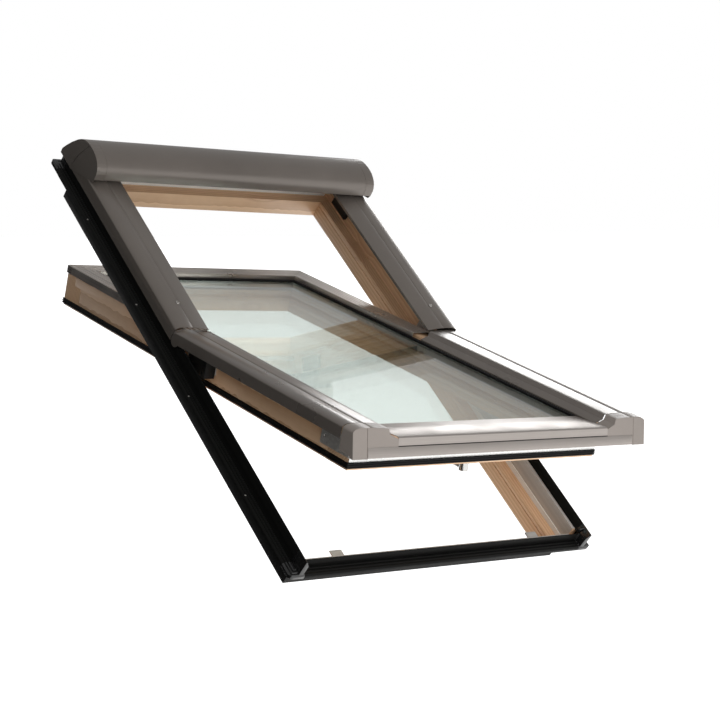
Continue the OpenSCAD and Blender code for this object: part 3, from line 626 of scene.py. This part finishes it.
@dataclass(frozen=True)
class Fastener:
    """The head of a screw or nail, in millimetres, standing on z = 0."""

    radius: float = 4.0
    height: float = 2.2
    head: Head = Head.STAR
    around: int = 36

    def mesh(self) -> bpy.types.Mesh:
        """Builds the head as one closed skin, in metres."""
        tool = bmesh.new()
        levels = [(reach, rise, 0.0) for reach, rise in HEAD_OUTLINE]
        if self.head is Head.STAR:
            levels += [(SOCKET_REACH, rise, STAR_WAVE) for rise in SOCKET_RISES]
        rings = [[self.point(tool, *level, step) for step in range(self.around)] for level in levels]
        for low, high in zip(rings, rings[1:]):
            for step in range(self.around):
                after = (step + 1) % self.around
                tool.faces.new((low[step], low[after], high[after], high[step]))
        tool.faces.new(rings[-1])
        tool.faces.new(list(reversed(rings[0])))
        mesh = bpy.data.meshes.new("fastener")
        tool.to_mesh(mesh)
        tool.free()
        shade(mesh, angle=35.0)
        return mesh

    def point(
        self, tool: bmesh.types.BMesh, reach: float, rise: float, wave: float, step: int
    ) -> bmesh.types.BMVert:
        """Adds one point of a ring.

        Args:
            tool: The mesh being built.
            reach: Share of the radius.
            rise: Share of the height.
            wave: How far the ring swings in and out at each point of the star.
            step: Number of the point round the ring.

        Returns:
            The new vertex.
        """
        turn = 2 * math.pi * step / self.around
        out = self.radius * reach * (1 + wave * math.cos(STAR_POINTS * turn)) * METRES_PER_MM
        lift = self.height * rise * METRES_PER_MM
        return tool.verts.new((out * math.cos(turn), out * math.sin(turn), lift))


@dataclass(frozen=True)
class Spot:
    """A place for one small part and the direction that it faces, in a plane's own axes."""

    place: Place
    aim: Place


class Scatter:
    """Stands a small part on each spot with Geometry Nodes, and keeps the plain mesh."""

    ROLL_SEED = 7
    tree: bpy.types.NodeTree | None = None

    @classmethod
    def group(cls) -> bpy.types.NodeTree:
        """Returns the node group: points in, one turned and painted copy of the part on each."""
        if cls.tree is not None:
            return cls.tree
        tree = bpy.data.node_groups.new("scatter_parts", "GeometryNodeTree")
        sockets = {"Geometry": "Geometry", "Part": "Object", "Finish": "Material", "Roll Seed": "Int"}
        for name, kind in sockets.items():
            tree.interface.new_socket(name, in_out="INPUT", socket_type=f"NodeSocket{kind}")
        tree.interface.new_socket("Geometry", in_out="OUTPUT", socket_type="NodeSocketGeometry")
        build = Shader(tree)
        entry = tree.nodes.new("NodeGroupInput").outputs
        leave = tree.nodes.new("NodeGroupOutput")
        stored = build.node("GeometryNodeInputNamedAttribute", {"Name": "aim"}, data_type="FLOAT_VECTOR")
        aim = {"Vector": stored.outputs[0]}
        turn = build.node("FunctionNodeAlignRotationToVector", aim, axis="Z").outputs[0]
        values = {"Seed": entry["Roll Seed"], 3: 2 * math.pi}
        chance = build.node("FunctionNodeRandomValue", values, data_type="FLOAT").outputs[1]
        roll = build.node("FunctionNodeAxisAngleToRotation", {"Angle": chance}).outputs[0]
        values = {0: turn, 1: roll}
        both = build.node("FunctionNodeRotateRotation", values, rotation_space="LOCAL").outputs[0]
        part = build.node("GeometryNodeObjectInfo", {"Object": entry["Part"]}).outputs["Geometry"]
        values = {"Points": entry["Geometry"], "Instance": part, "Rotation": both}
        copies = build.node("GeometryNodeInstanceOnPoints", values).outputs[0]
        plain = build.node("GeometryNodeRealizeInstances", {"Geometry": copies}).outputs[0]
        values = {"Geometry": plain, "Material": entry["Finish"]}
        painted = build.node("GeometryNodeSetMaterial", values).outputs[0]
        tree.links.new(painted, leave.inputs[0])
        cls.tree = tree
        return tree

    @classmethod
    def place(
        cls,
        name: str,
        node: str,
        part: bpy.types.Mesh,
        finish: Finish,
        plane: Plane,
        spots: Sequence[Spot],
        stands_for: bool = False,
    ) -> None:
        """Stands one part on every spot.

        Args:
            name: The new piece's name.
            node: The node that the piece belongs to.
            part: The small part, standing on z = 0, in metres.
            finish: What it is made of.
            plane: The plane that the spots are given in.
            spots: Where the copies stand.
            stands_for: Whether the piece is shown in place of the node.
        """
        to_row = LAYOUT.matrix(plane)
        turn = to_row.to_3x3().normalized()
        points = bpy.data.meshes.new(f"{name}_points")
        points.from_pydata([to_row @ Vector(spot.place) for spot in spots], [], [])
        aims = points.attributes.new("aim", "FLOAT_VECTOR", "POINT")
        for index, spot in enumerate(spots):
            aims.data[index].vector = turn @ Vector(spot.aim)
        holder = bpy.data.objects.new(f"{name}_points", points)
        sample = bpy.data.objects.new(f"{name}_part", part)
        for thing in (holder, sample):
            bpy.context.scene.collection.objects.link(thing)
        modifier = holder.modifiers.new("scatter", "NODES")
        modifier.node_group = cls.group()
        wanted = {"Part": sample, "Finish": BOOK.get(finish), "Roll Seed": cls.ROLL_SEED}
        for item in modifier.node_group.interface.items_tree:
            if item.item_type == "SOCKET" and item.in_out == "INPUT" and item.name in wanted:
                modifier[item.identifier] = wanted[item.name]
        graph = bpy.context.evaluated_depsgraph_get()
        graph.update()
        mesh = bpy.data.meshes.new_from_object(holder.evaluated_get(graph), depsgraph=graph)
        for thing in (holder, sample):
            bpy.data.objects.remove(thing)
        mesh.name = name
        settle(name, mesh, node, stands_for)


def mirrored(spots: Iterable[Spot]) -> list[Spot]:
    """Returns the spots of both sides, given those of the right side."""
    given = list(spots)

    def flip(way: Place) -> Place:
        """Returns a place or direction with its x turned round."""
        return (-way[0], way[1], way[2])

    return given + [Spot(flip(spot.place), flip(spot.aim)) for spot in given]


# ---------------------------------------------------------------- sub-assemblies

OUTWARD: Place = (0, 0, 1)
INWARD: Place = (0, 0, -1)
TO_LEFT: Place = (-1, 0, 0)
UP: Place = (0, 1, 0)
DOWN: Place = (0, -1, 0)


@dataclass
class Timber:
    """The four pine bars of the frame or of the sash."""

    plane: Plane
    across: tuple[str, str]
    up_slope: tuple[str, str]

    def build(self) -> None:
        """Dresses the bars in pine, with the grain along each."""
        for run, nodes in ((Run.ACROSS, self.across), (Run.UP_SLOPE, self.up_slope)):
            for node in nodes:
                dress(node, Pine(f"{self.plane.value}_pine_{run.value}", self.plane, run), WOOD_EDGE)


@dataclass
class DrainProfile:
    """The black profile round the frame, its moulded corners and the nails in its base."""

    nail_x: float = 386.0
    nail_n: float = 8.0
    nail_step: float = 260.0
    nail_count: int = 4
    black: Colour = (0.0075, 0.0075, 0.0070)

    def build(self) -> None:
        """Dresses the bars and corners, and drives the nails."""
        for run, sides in ((Run.ACROSS, ("top", "bottom")), (Run.UP_SLOPE, SIDES)):
            finish = Drawn(
                f"black_profile_{run.value}",
                Plane.FRAME,
                run,
                colour=self.black,
                roughness=0.4,
                metallic=0.0,
                lines=0.4,
                strength=0.2,
                specular=0.06,
            )
            for side in sides:
                dress(f"drain_profile_{side}", finish, MOULDED_EDGE)
        gloss = Coated(
            "gloss_corner", colour=(0.008, 0.008, 0.008), roughness=0.16, strength=0.08, coat=0.35
        )
        for corner in ("bottom_left", "bottom_right", "top_left", "top_right"):
            dress(f"profile_corner_{corner}", gloss, MOULDED_EDGE)
        low = -self.nail_step * (self.nail_count - 1) / 2
        zinc = Coated("zinc_nail", colour=ZINC, metallic=1.0, roughness=0.35)
        for side in Side:
            spots = [
                Spot((side.value * self.nail_x, low + step * self.nail_step, self.nail_n), OUTWARD)
                for step in range(self.nail_count)
            ]
            name = side.name.lower()
            node = f"drain_profile_{name}"
            nail = Fastener(radius=2.2, height=1.4, head=Head.PLAIN, around=20).mesh()
            Scatter.place(f"profile_nails_{name}", node, nail, zinc, Plane.FRAME, spots)


@dataclass
class RebateTrim:
    """The metal lining, the foam strips and the packing blocks of the rebate."""

    metal: Colour = (0.62, 0.60, 0.57)

    def build(self) -> None:
        """Dresses the trim."""
        for side, name, run in (
            ("left", "lining_slope", Run.UP_SLOPE),
            ("right", "lining_slope", Run.UP_SLOPE),
            ("sill", "lining_across", Run.ACROSS),
        ):
            metal = Drawn(name, Plane.FRAME, run, colour=self.metal, roughness=0.42, metallic=0.35)
            dress(f"rebate_lining_{side}", metal, SHEET_EDGE)
        foam = Coated(
            "foam", colour=(0.92, 0.91, 0.88), roughness=0.9, pebble=1400.0, depth=0.0004, strength=0.6
        )
        dress("foam_strips", foam, MOULDED_EDGE)
        dress("corner_blocks", BLACK_PLASTIC, MOULDED_EDGE)


@dataclass
class FrameCovers:
    """The hood, the upper side covers and what holds them."""

    screw_x: float = 337.7
    screw_u: float = 78.0
    screw_n: float = 63.2

    def build(self) -> None:
        """Dresses the covers and sets their screws."""
        skin = Coated(
            "frame_cladding", colour=WARM_GREY, metallic=0.35, roughness=0.33, strength=0.1, coat=0.15
        )
        for node in ("hood", "upper_cover_left", "upper_cover_right"):
            dress(node, skin, SHEET_EDGE)
        for node in ("hood_end_cap_left", "hood_end_cap_right"):
            dress(node, skin)
        dress("upper_cover_gaskets", RUBBER)
        dress("hood_clips", ZINC_PLATE, SHEET_EDGE)
        spots = mirrored([Spot((self.screw_x, self.screw_u, self.screw_n), OUTWARD)])
        head = Fastener(radius=4.0, height=2.2).mesh()
        Scatter.place(
            "cover_screw_heads", "cover_screws", head, SCREW_STEEL, Plane.FRAME, spots, stands_for=True
        )


@dataclass
class Hinges:
    """The hinge plates, their housings and screws."""

    plate_x: float = 350.0
    screw_places: tuple[float, ...] = (-58.0, -28.0, 18.0, 48.0)
    screw_n: float = 4.0

    def build(self) -> None:
        """Dresses the hinges and sets their screws."""
        for side in SIDES:
            dress(f"frame_hinge_{side}", ZINC_PLATE, SHEET_EDGE)
            dress(f"sash_hinge_{side}", ZINC_PLATE, SHEET_EDGE)
        dress("hinge_housings", BLACK_PLASTIC, MOULDED_EDGE)
        spots = mirrored([Spot((self.plate_x, u, self.screw_n), TO_LEFT) for u in self.screw_places])
        head = Fastener(radius=4.0, height=1.2).mesh()
        node = "hinge_plate_screws"
        Scatter.place(
            "hinge_screw_heads", node, head, SCREW_STEEL, Plane.FRAME, spots, stands_for=True
        )


@dataclass
class SashCovers:
    """The lower side covers, the bottom cover, the drip strip, the corner caps and a black strip in the
    seam that paints its shadow line.
    """

    seam_u: float = -596.1
    seam_n: float = 28.0
    seam_reach: float = 269.0
    seam_radius: float = 0.9
    around: int = 10

    def build(self) -> None:
        """Dresses the covers of the lower half."""
        skin = Coated(
            "sash_cladding",
            Plane.SASH,
            colour=WARM_GREY,
            metallic=0.35,
            roughness=0.30,
            strength=0.1,
            coat=0.3,
        )
        cap = Coated(
            "cap_plastic", Plane.SASH, colour=(0.27, 0.235, 0.21), roughness=0.42, strength=0.35
        )
        for side in SIDES:
            dress(f"lower_cover_{side}", skin, SHEET_EDGE)
            dress(f"corner_cap_{side}", cap, SHEET_EDGE)
        band = Drawn(
            "band_across",
            Plane.SASH,
            Run.ACROSS,
            colour=(0.36, 0.325, 0.30),
            roughness=0.36,
            metallic=0.6,
            lines=0.12,
            strength=0.2,
            depth=0.00003,
        )
        for node in ("bottom_cover", "drip_strip"):
            dress(node, band, SHEET_EDGE)
        self.seam()

    def seam(self) -> None:
        """Lays a thin black strip in the seam between the bottom cover and the drip strip, as painted
        shadow of the joint.
        """
        to_row = LAYOUT.matrix(Plane.SASH)
        tool = bmesh.new()
        rings = []
        for x in (-self.seam_reach, self.seam_reach):
            ring = []
            for step in range(self.around):
                turn = 2 * math.pi * step / self.around
                u = self.seam_u + self.seam_radius * math.cos(turn)
                n = self.seam_n + self.seam_radius * math.sin(turn)
                ring.append(tool.verts.new(to_row @ Vector((x, u, n))))
            rings.append(ring)
        for step in range(self.around):
            after = (step + 1) % self.around
            tool.faces.new((rings[0][step], rings[0][after], rings[1][after], rings[1][step]))
        for ring in rings:
            tool.faces.new(ring)
        bmesh.ops.recalc_face_normals(tool, faces=tool.faces[:])
        mesh = bpy.data.meshes.new("seam_bead")
        tool.to_mesh(mesh)
        tool.free()
        shade(mesh)
        # The seals' black rubber is used here as painted shade: the strip stands for the seam's shadow
        # line.
        mesh.materials.append(BOOK.get(RUBBER))
        settle("seam_bead", mesh, "bottom_cover", stands_for=False)


@dataclass
class Glazing:
    """The sealed unit, its gasket, its bars and the tiny holes in the spacer."""

    spacer_x: float = 264.0
    spacer_low_u: float = -498.0
    spacer_high_u: float = 464.0
    spacer_n: float = 21.0
    hole_step: float = 9.0

    def build(self) -> None:
        """Dresses the glazing and sets the holes of the spacer."""
        for node in ("glass_outer_pane", "glass_inner_pane"):
            dress(node, Glass("float_glass", Plane.SASH))
        for node, name, run in (
            ("top_glazing_bar", "bar_across", Run.ACROSS),
            ("glazing_bar_left", "bar_slope", Run.UP_SLOPE),
            ("glazing_bar_right", "bar_slope", Run.UP_SLOPE),
        ):
            dress(node, Drawn(name, Plane.SASH, run, colour=SILVER, metallic=0.9), SHEET_EDGE)
        dress("glazing_gasket", RUBBER, MOULDED_EDGE)
        dress("glass_edge_seal", RUBBER)
        dress("setting_blocks", BLACK_PLASTIC)
        spacer = Drawn(
            "spacer_metal",
            Plane.SASH,
            Run.ACROSS,
            colour=(0.62, 0.62, 0.60),
            roughness=0.32,
            lines=0.15,
            strength=0.2,
            depth=0.00003,
        )
        dress("glass_spacer", spacer)
        # Each hole is a flat near-black dot: painted shade inside the hole.
        dot = Fastener(radius=0.7, height=0.15, head=Head.PLAIN, around=8).mesh()
        painted_hole_shade = Coated("spacer_hole", Plane.SASH, colour=(0.02, 0.02, 0.02), roughness=0.8)
        Scatter.place("spacer_holes", "glass_spacer", dot, painted_hole_shade, Plane.SASH, self.holes())

    def holes(self) -> list[Spot]:
        """Returns the spots of the holes on the four inner faces of the spacer."""
        spots: list[Spot] = []
        rows = int((self.spacer_high_u - self.spacer_low_u) / self.hole_step)
        columns = int(2 * self.spacer_x / self.hole_step)
        for step in range(1, rows):
            u = self.spacer_low_u + step * self.hole_step
            spots += mirrored([Spot((self.spacer_x, u, self.spacer_n), TO_LEFT)])
        for step in range(1, columns):
            x = -self.spacer_x + step * self.hole_step
            spots.append(Spot((x, self.spacer_low_u, self.spacer_n), UP))
            spots.append(Spot((x, self.spacer_high_u, self.spacer_n), DOWN))
        return spots


@dataclass
class Lock:
    """The corner drives, the rods, the gear case, the keeps and the handle."""

    drive_x: float = 321.0
    drive_places: tuple[float, ...] = (-514.0, -454.0)
    handle_u: float = -494.5
    base_n: float = -48.0
    base_reach: float = 15.0

    def build(self) -> None:
        """Dresses the lock and sets its screws."""
        works = ("lock_gear_case", "lock_rod_left", "lock_rod_right", "lock_keeps")
        for node in (*works, "corner_drive_left", "corner_drive_right"):
            dress(node, ZINC_PLATE, SHEET_EDGE)
        satin = Coated(
            "handle_satin",
            Plane.SASH,
            colour=(0.60, 0.59, 0.57),
            metallic=1.0,
            roughness=0.28,
            strength=0.1,
        )
        for node in ("handle_base", "handle"):
            dress(node, satin, MOULDED_EDGE)
        for side in Side:
            x = side.value * self.drive_x
            spots = [Spot((x, u, 0.0), (side.value, 0, 0)) for u in self.drive_places]
            node = f"corner_drive_{side.name.lower()}"
            head = Fastener(radius=2.8, height=1.6).mesh()
            Scatter.place(f"{node}_screws", node, head, SCREW_STEEL, Plane.SASH, spots)
        ends = (self.handle_u - self.base_reach, self.handle_u + self.base_reach)
        spots = [Spot((0.0, u, self.base_n), INWARD) for u in ends]
        head = Fastener(radius=2.6, height=1.0).mesh()
        Scatter.place("handle_screws", "handle_base", head, SCREW_STEEL, Plane.SASH, spots)


@dataclass
class SashSeals:
    """The rubber round the sash and the bright strip over it."""

    def build(self) -> None:
        """Dresses the seals."""
        dress("sash_seal", RUBBER, SHEET_EDGE)
        bright = Drawn(
            "bright_strip",
            Plane.SASH,
            Run.ACROSS,
            colour=(0.86, 0.86, 0.84),
            roughness=0.22,
            metallic=0.8,
            lines=0.08,
            strength=0.1,
            depth=0.00002,
        )
        dress("seal_carrier", bright, SHEET_EDGE)


# ---------------------------------------------------------------- studio

WHITE = (1.0, 1.0, 1.0, 1.0)
FLOOR_WELD = 1e-5


@dataclass(frozen=True)
class Panel:
    """A light or a dark board: its middle, the point that it faces and its sides, in metres."""

    name: str
    place: Place
    aim: Place
    width: float
    height: float

    def stand(self, thing: bpy.types.Object, front: str) -> None:
        """Puts the light or the board in its place.

        Args:
            thing: The light or the board.
            front: The axis that its front looks along.
        """
        thing.location = self.place
        facing = Vector(self.aim) - Vector(self.place)
        thing.rotation_euler = facing.to_track_quat(front, "Y").to_euler()
        bpy.context.scene.collection.objects.link(thing)


KEY = Panel("back_right", place=(3.1, 2.3, 2.0), aim=(0.4, 0.1, 0.4), width=1.5, height=1.5)
FILL = Panel("front", place=(-0.6, -3.6, 1.9), aim=(0.0, 0.2, 0.4), width=1.8, height=1.8)
FLAGS = (
    Panel("back_left", place=(-2.0, 2.3, 0.4), aim=(0.0, 1.2, 0.4), width=3.8, height=2.2),
    Panel("left", place=(-1.6, 0.3, 0.1), aim=(0.0, 0.5, 0.4), width=2.2, height=1.6),
    Panel("left_floor", place=(-1.3, 0.9, -0.58), aim=(-1.3, 0.9, 1.0), width=1.5, height=3.2),
)


@dataclass
class Studio:
    """A pale floor, soft lights, dark boards and the camera."""

    place: Place = (-2.468, -2.7613, 0.3896)
    azimuth: float = -39.276
    elevation: float = 0.006
    roll: float = -0.698
    lens: float = 95.04
    sensor: float = 36.0
    sight: float = 60.0
    floor_z: float = -0.62
    floor_radius: float = 9.0
    floor_flat: float = 0.6
    floor_rise: float = 0.4
    floor_steps: int = 12
    floor_turn: float = 5.0
    floor_around: int = 96
    floor_glow: float = 0.85
    paper: Colour = (0.86, 0.86, 0.86)
    cloth: Colour = (0.01, 0.01, 0.01)
    air: float = 0.46
    watts: float = 34.0

    def build(self) -> None:
        """Makes the floor, the sky, the lights and the camera."""
        self.floor()
        self.sky()
        self.lights()
        self.camera()
        bpy.context.scene.view_settings.view_transform = "Standard"

    def floor(self) -> None:
        """Makes a round floor whose rim sweeps up out of view."""
        mesh = bpy.data.meshes.new("studio_floor")
        tool = bmesh.new()
        profile = [(0.0, 0.0), (self.floor_radius * self.floor_flat, 0.0)]
        for step in range(1, self.floor_steps + 1):
            turn = math.radians(step * self.floor_turn)
            reach = self.floor_radius * (self.floor_flat + self.floor_rise * math.sin(turn))
            profile.append((reach, self.floor_radius * self.floor_rise * (1 - math.cos(turn))))
        points = [tool.verts.new((r, 0.0, self.floor_z + z)) for r, z in profile]
        edges = [tool.edges.new(pair) for pair in zip(points, points[1:])]
        bmesh.ops.spin(
            tool,
            geom=points + edges,
            axis=(0, 0, 1),
            cent=(0, 0, 0),
            angle=2 * math.pi,
            steps=self.floor_around,
        )
        bmesh.ops.remove_doubles(tool, verts=tool.verts[:], dist=FLOOR_WELD)
        bmesh.ops.recalc_face_normals(tool, faces=tool.faces[:])
        tool.to_mesh(mesh)
        tool.free()
        for polygon in mesh.polygons:
            polygon.use_smooth = True
        floor = bpy.data.objects.new("studio_floor", mesh)
        bpy.context.scene.collection.objects.link(floor)
        surface = self.matt(mesh, "studio_paper", self.paper, roughness=0.9)
        surface.inputs["Emission Color"].default_value = WHITE
        surface.inputs["Emission Strength"].default_value = self.floor_glow

    def matt(
        self, mesh: bpy.types.Mesh, name: str, colour: Colour, roughness: float
    ) -> bpy.types.Node:
        """Gives a mesh of the studio a plain matt material.

        Args:
            mesh: The mesh.
            name: The material's name.
            colour: Its colour.
            roughness: Its roughness.

        Returns:
            The material's Principled node.
        """
        material = bpy.data.materials.new(name)
        material.use_nodes = True
        mesh.materials.append(material)
        surface = material.node_tree.nodes["Principled BSDF"]
        surface.inputs["Base Color"].default_value = rgba(colour)
        surface.inputs["Roughness"].default_value = roughness
        return surface

    def sky(self) -> None:
        """Makes a surround that is white to the eye and dimmer as a light."""
        world = bpy.data.worlds.new("studio_air")
        world.use_nodes = True
        build = Shader(world.node_tree)
        seen = build.node("ShaderNodeLightPath", {}).outputs["Is Camera Ray"]
        values = {"Value": seen, "To Min": self.air, "To Max": 1.0}
        glow = build.node("ShaderNodeMapRange", values).outputs[0]
        back = world.node_tree.nodes["Background"]
        back.inputs["Color"].default_value = WHITE
        world.node_tree.links.new(glow, back.inputs["Strength"])
        bpy.context.scene.world = world

    def lights(self) -> None:
        """Places the soft boxes and the dark boards."""
        key = self.soft_box(KEY)
        self.soft_box(FILL)
        self.spare(key, ("glass_outer_pane", "glass_inner_pane"))
        for panel in FLAGS:
            self.flag(panel)

    def flag(self, panel: Panel) -> None:
        """Stands a black board beside the object, unseen by the camera.

        Args:
            panel: Where it stands and how large it is.
        """
        name = f"flag_{panel.name}"
        mesh = bpy.data.meshes.new(name)
        x, y = panel.width / 2, panel.height / 2
        mesh.from_pydata([(-x, -y, 0), (x, -y, 0), (x, y, 0), (-x, y, 0)], [], [(0, 1, 2, 3)])
        self.matt(mesh, "flag_cloth", self.cloth, roughness=1.0)
        board = bpy.data.objects.new(name, mesh)
        board.visible_camera = False
        panel.stand(board, front="Z")

    def spare(self, light: bpy.types.Object, nodes: Iterable[str]) -> None:
        """Keeps a light off some nodes, so that it isn't mirrored in them.

        Args:
            light: The light.
            nodes: The nodes that it doesn't reach.
        """
        spared = bpy.data.collections.new(f"{light.name}_spares")
        for node in nodes:
            spared.objects.link(frame["nodes"][node])
        light.light_linking.receiver_collection = spared
        for entry in spared.collection_objects:
            entry.light_linking.link_state = "EXCLUDE"

    def soft_box(self, panel: Panel) -> bpy.types.Object:
        """Makes one square area light.

        Args:
            panel: Where it stands and how large it is.

        Returns:
            The light.
        """
        data = bpy.data.lights.new(panel.name, "AREA")
        data.size = panel.width
        data.energy = self.watts
        lamp = bpy.data.objects.new(panel.name, data)
        panel.stand(lamp, front="-Z")
        return lamp

    def camera(self) -> None:
        """Places the camera."""
        data = bpy.data.cameras.new("camera")
        data.lens = self.lens
        data.sensor_width = self.sensor
        data.clip_end = self.sight
        eye = bpy.data.objects.new("camera", data)
        angles = (math.radians(angle) for angle in (self.azimuth, self.elevation, self.roll))
        azimuth, elevation, roll = angles
        level = Matrix.Rotation(azimuth, 4, "Z") @ Matrix.Rotation(math.pi / 2 + elevation, 4, "X")
        eye.matrix_world = Matrix.Translation(self.place) @ level @ Matrix.Rotation(roll, 4, "Z")
        bpy.context.scene.collection.objects.link(eye)
        bpy.context.scene.camera = eye


def main() -> None:
    """Builds the window's looks and its studio."""
    logging.basicConfig(level=logging.INFO)
    parts = (
        Timber(
            Plane.FRAME, ("frame_head_rail", "frame_sill_rail"), ("frame_jamb_left", "frame_jamb_right")
        ),
        Timber(
            Plane.SASH, ("sash_top_rail", "sash_bottom_rail"), ("sash_stile_left", "sash_stile_right")
        ),
        DrainProfile(),
        RebateTrim(),
        FrameCovers(),
        Hinges(),
        SashCovers(),
        Glazing(),
        Lock(),
        SashSeals(),
        Studio(),
    )
    for part in parts:
        part.build()
        log.info("built %s", type(part).__name__)


if __name__ == "__main__":
    main()
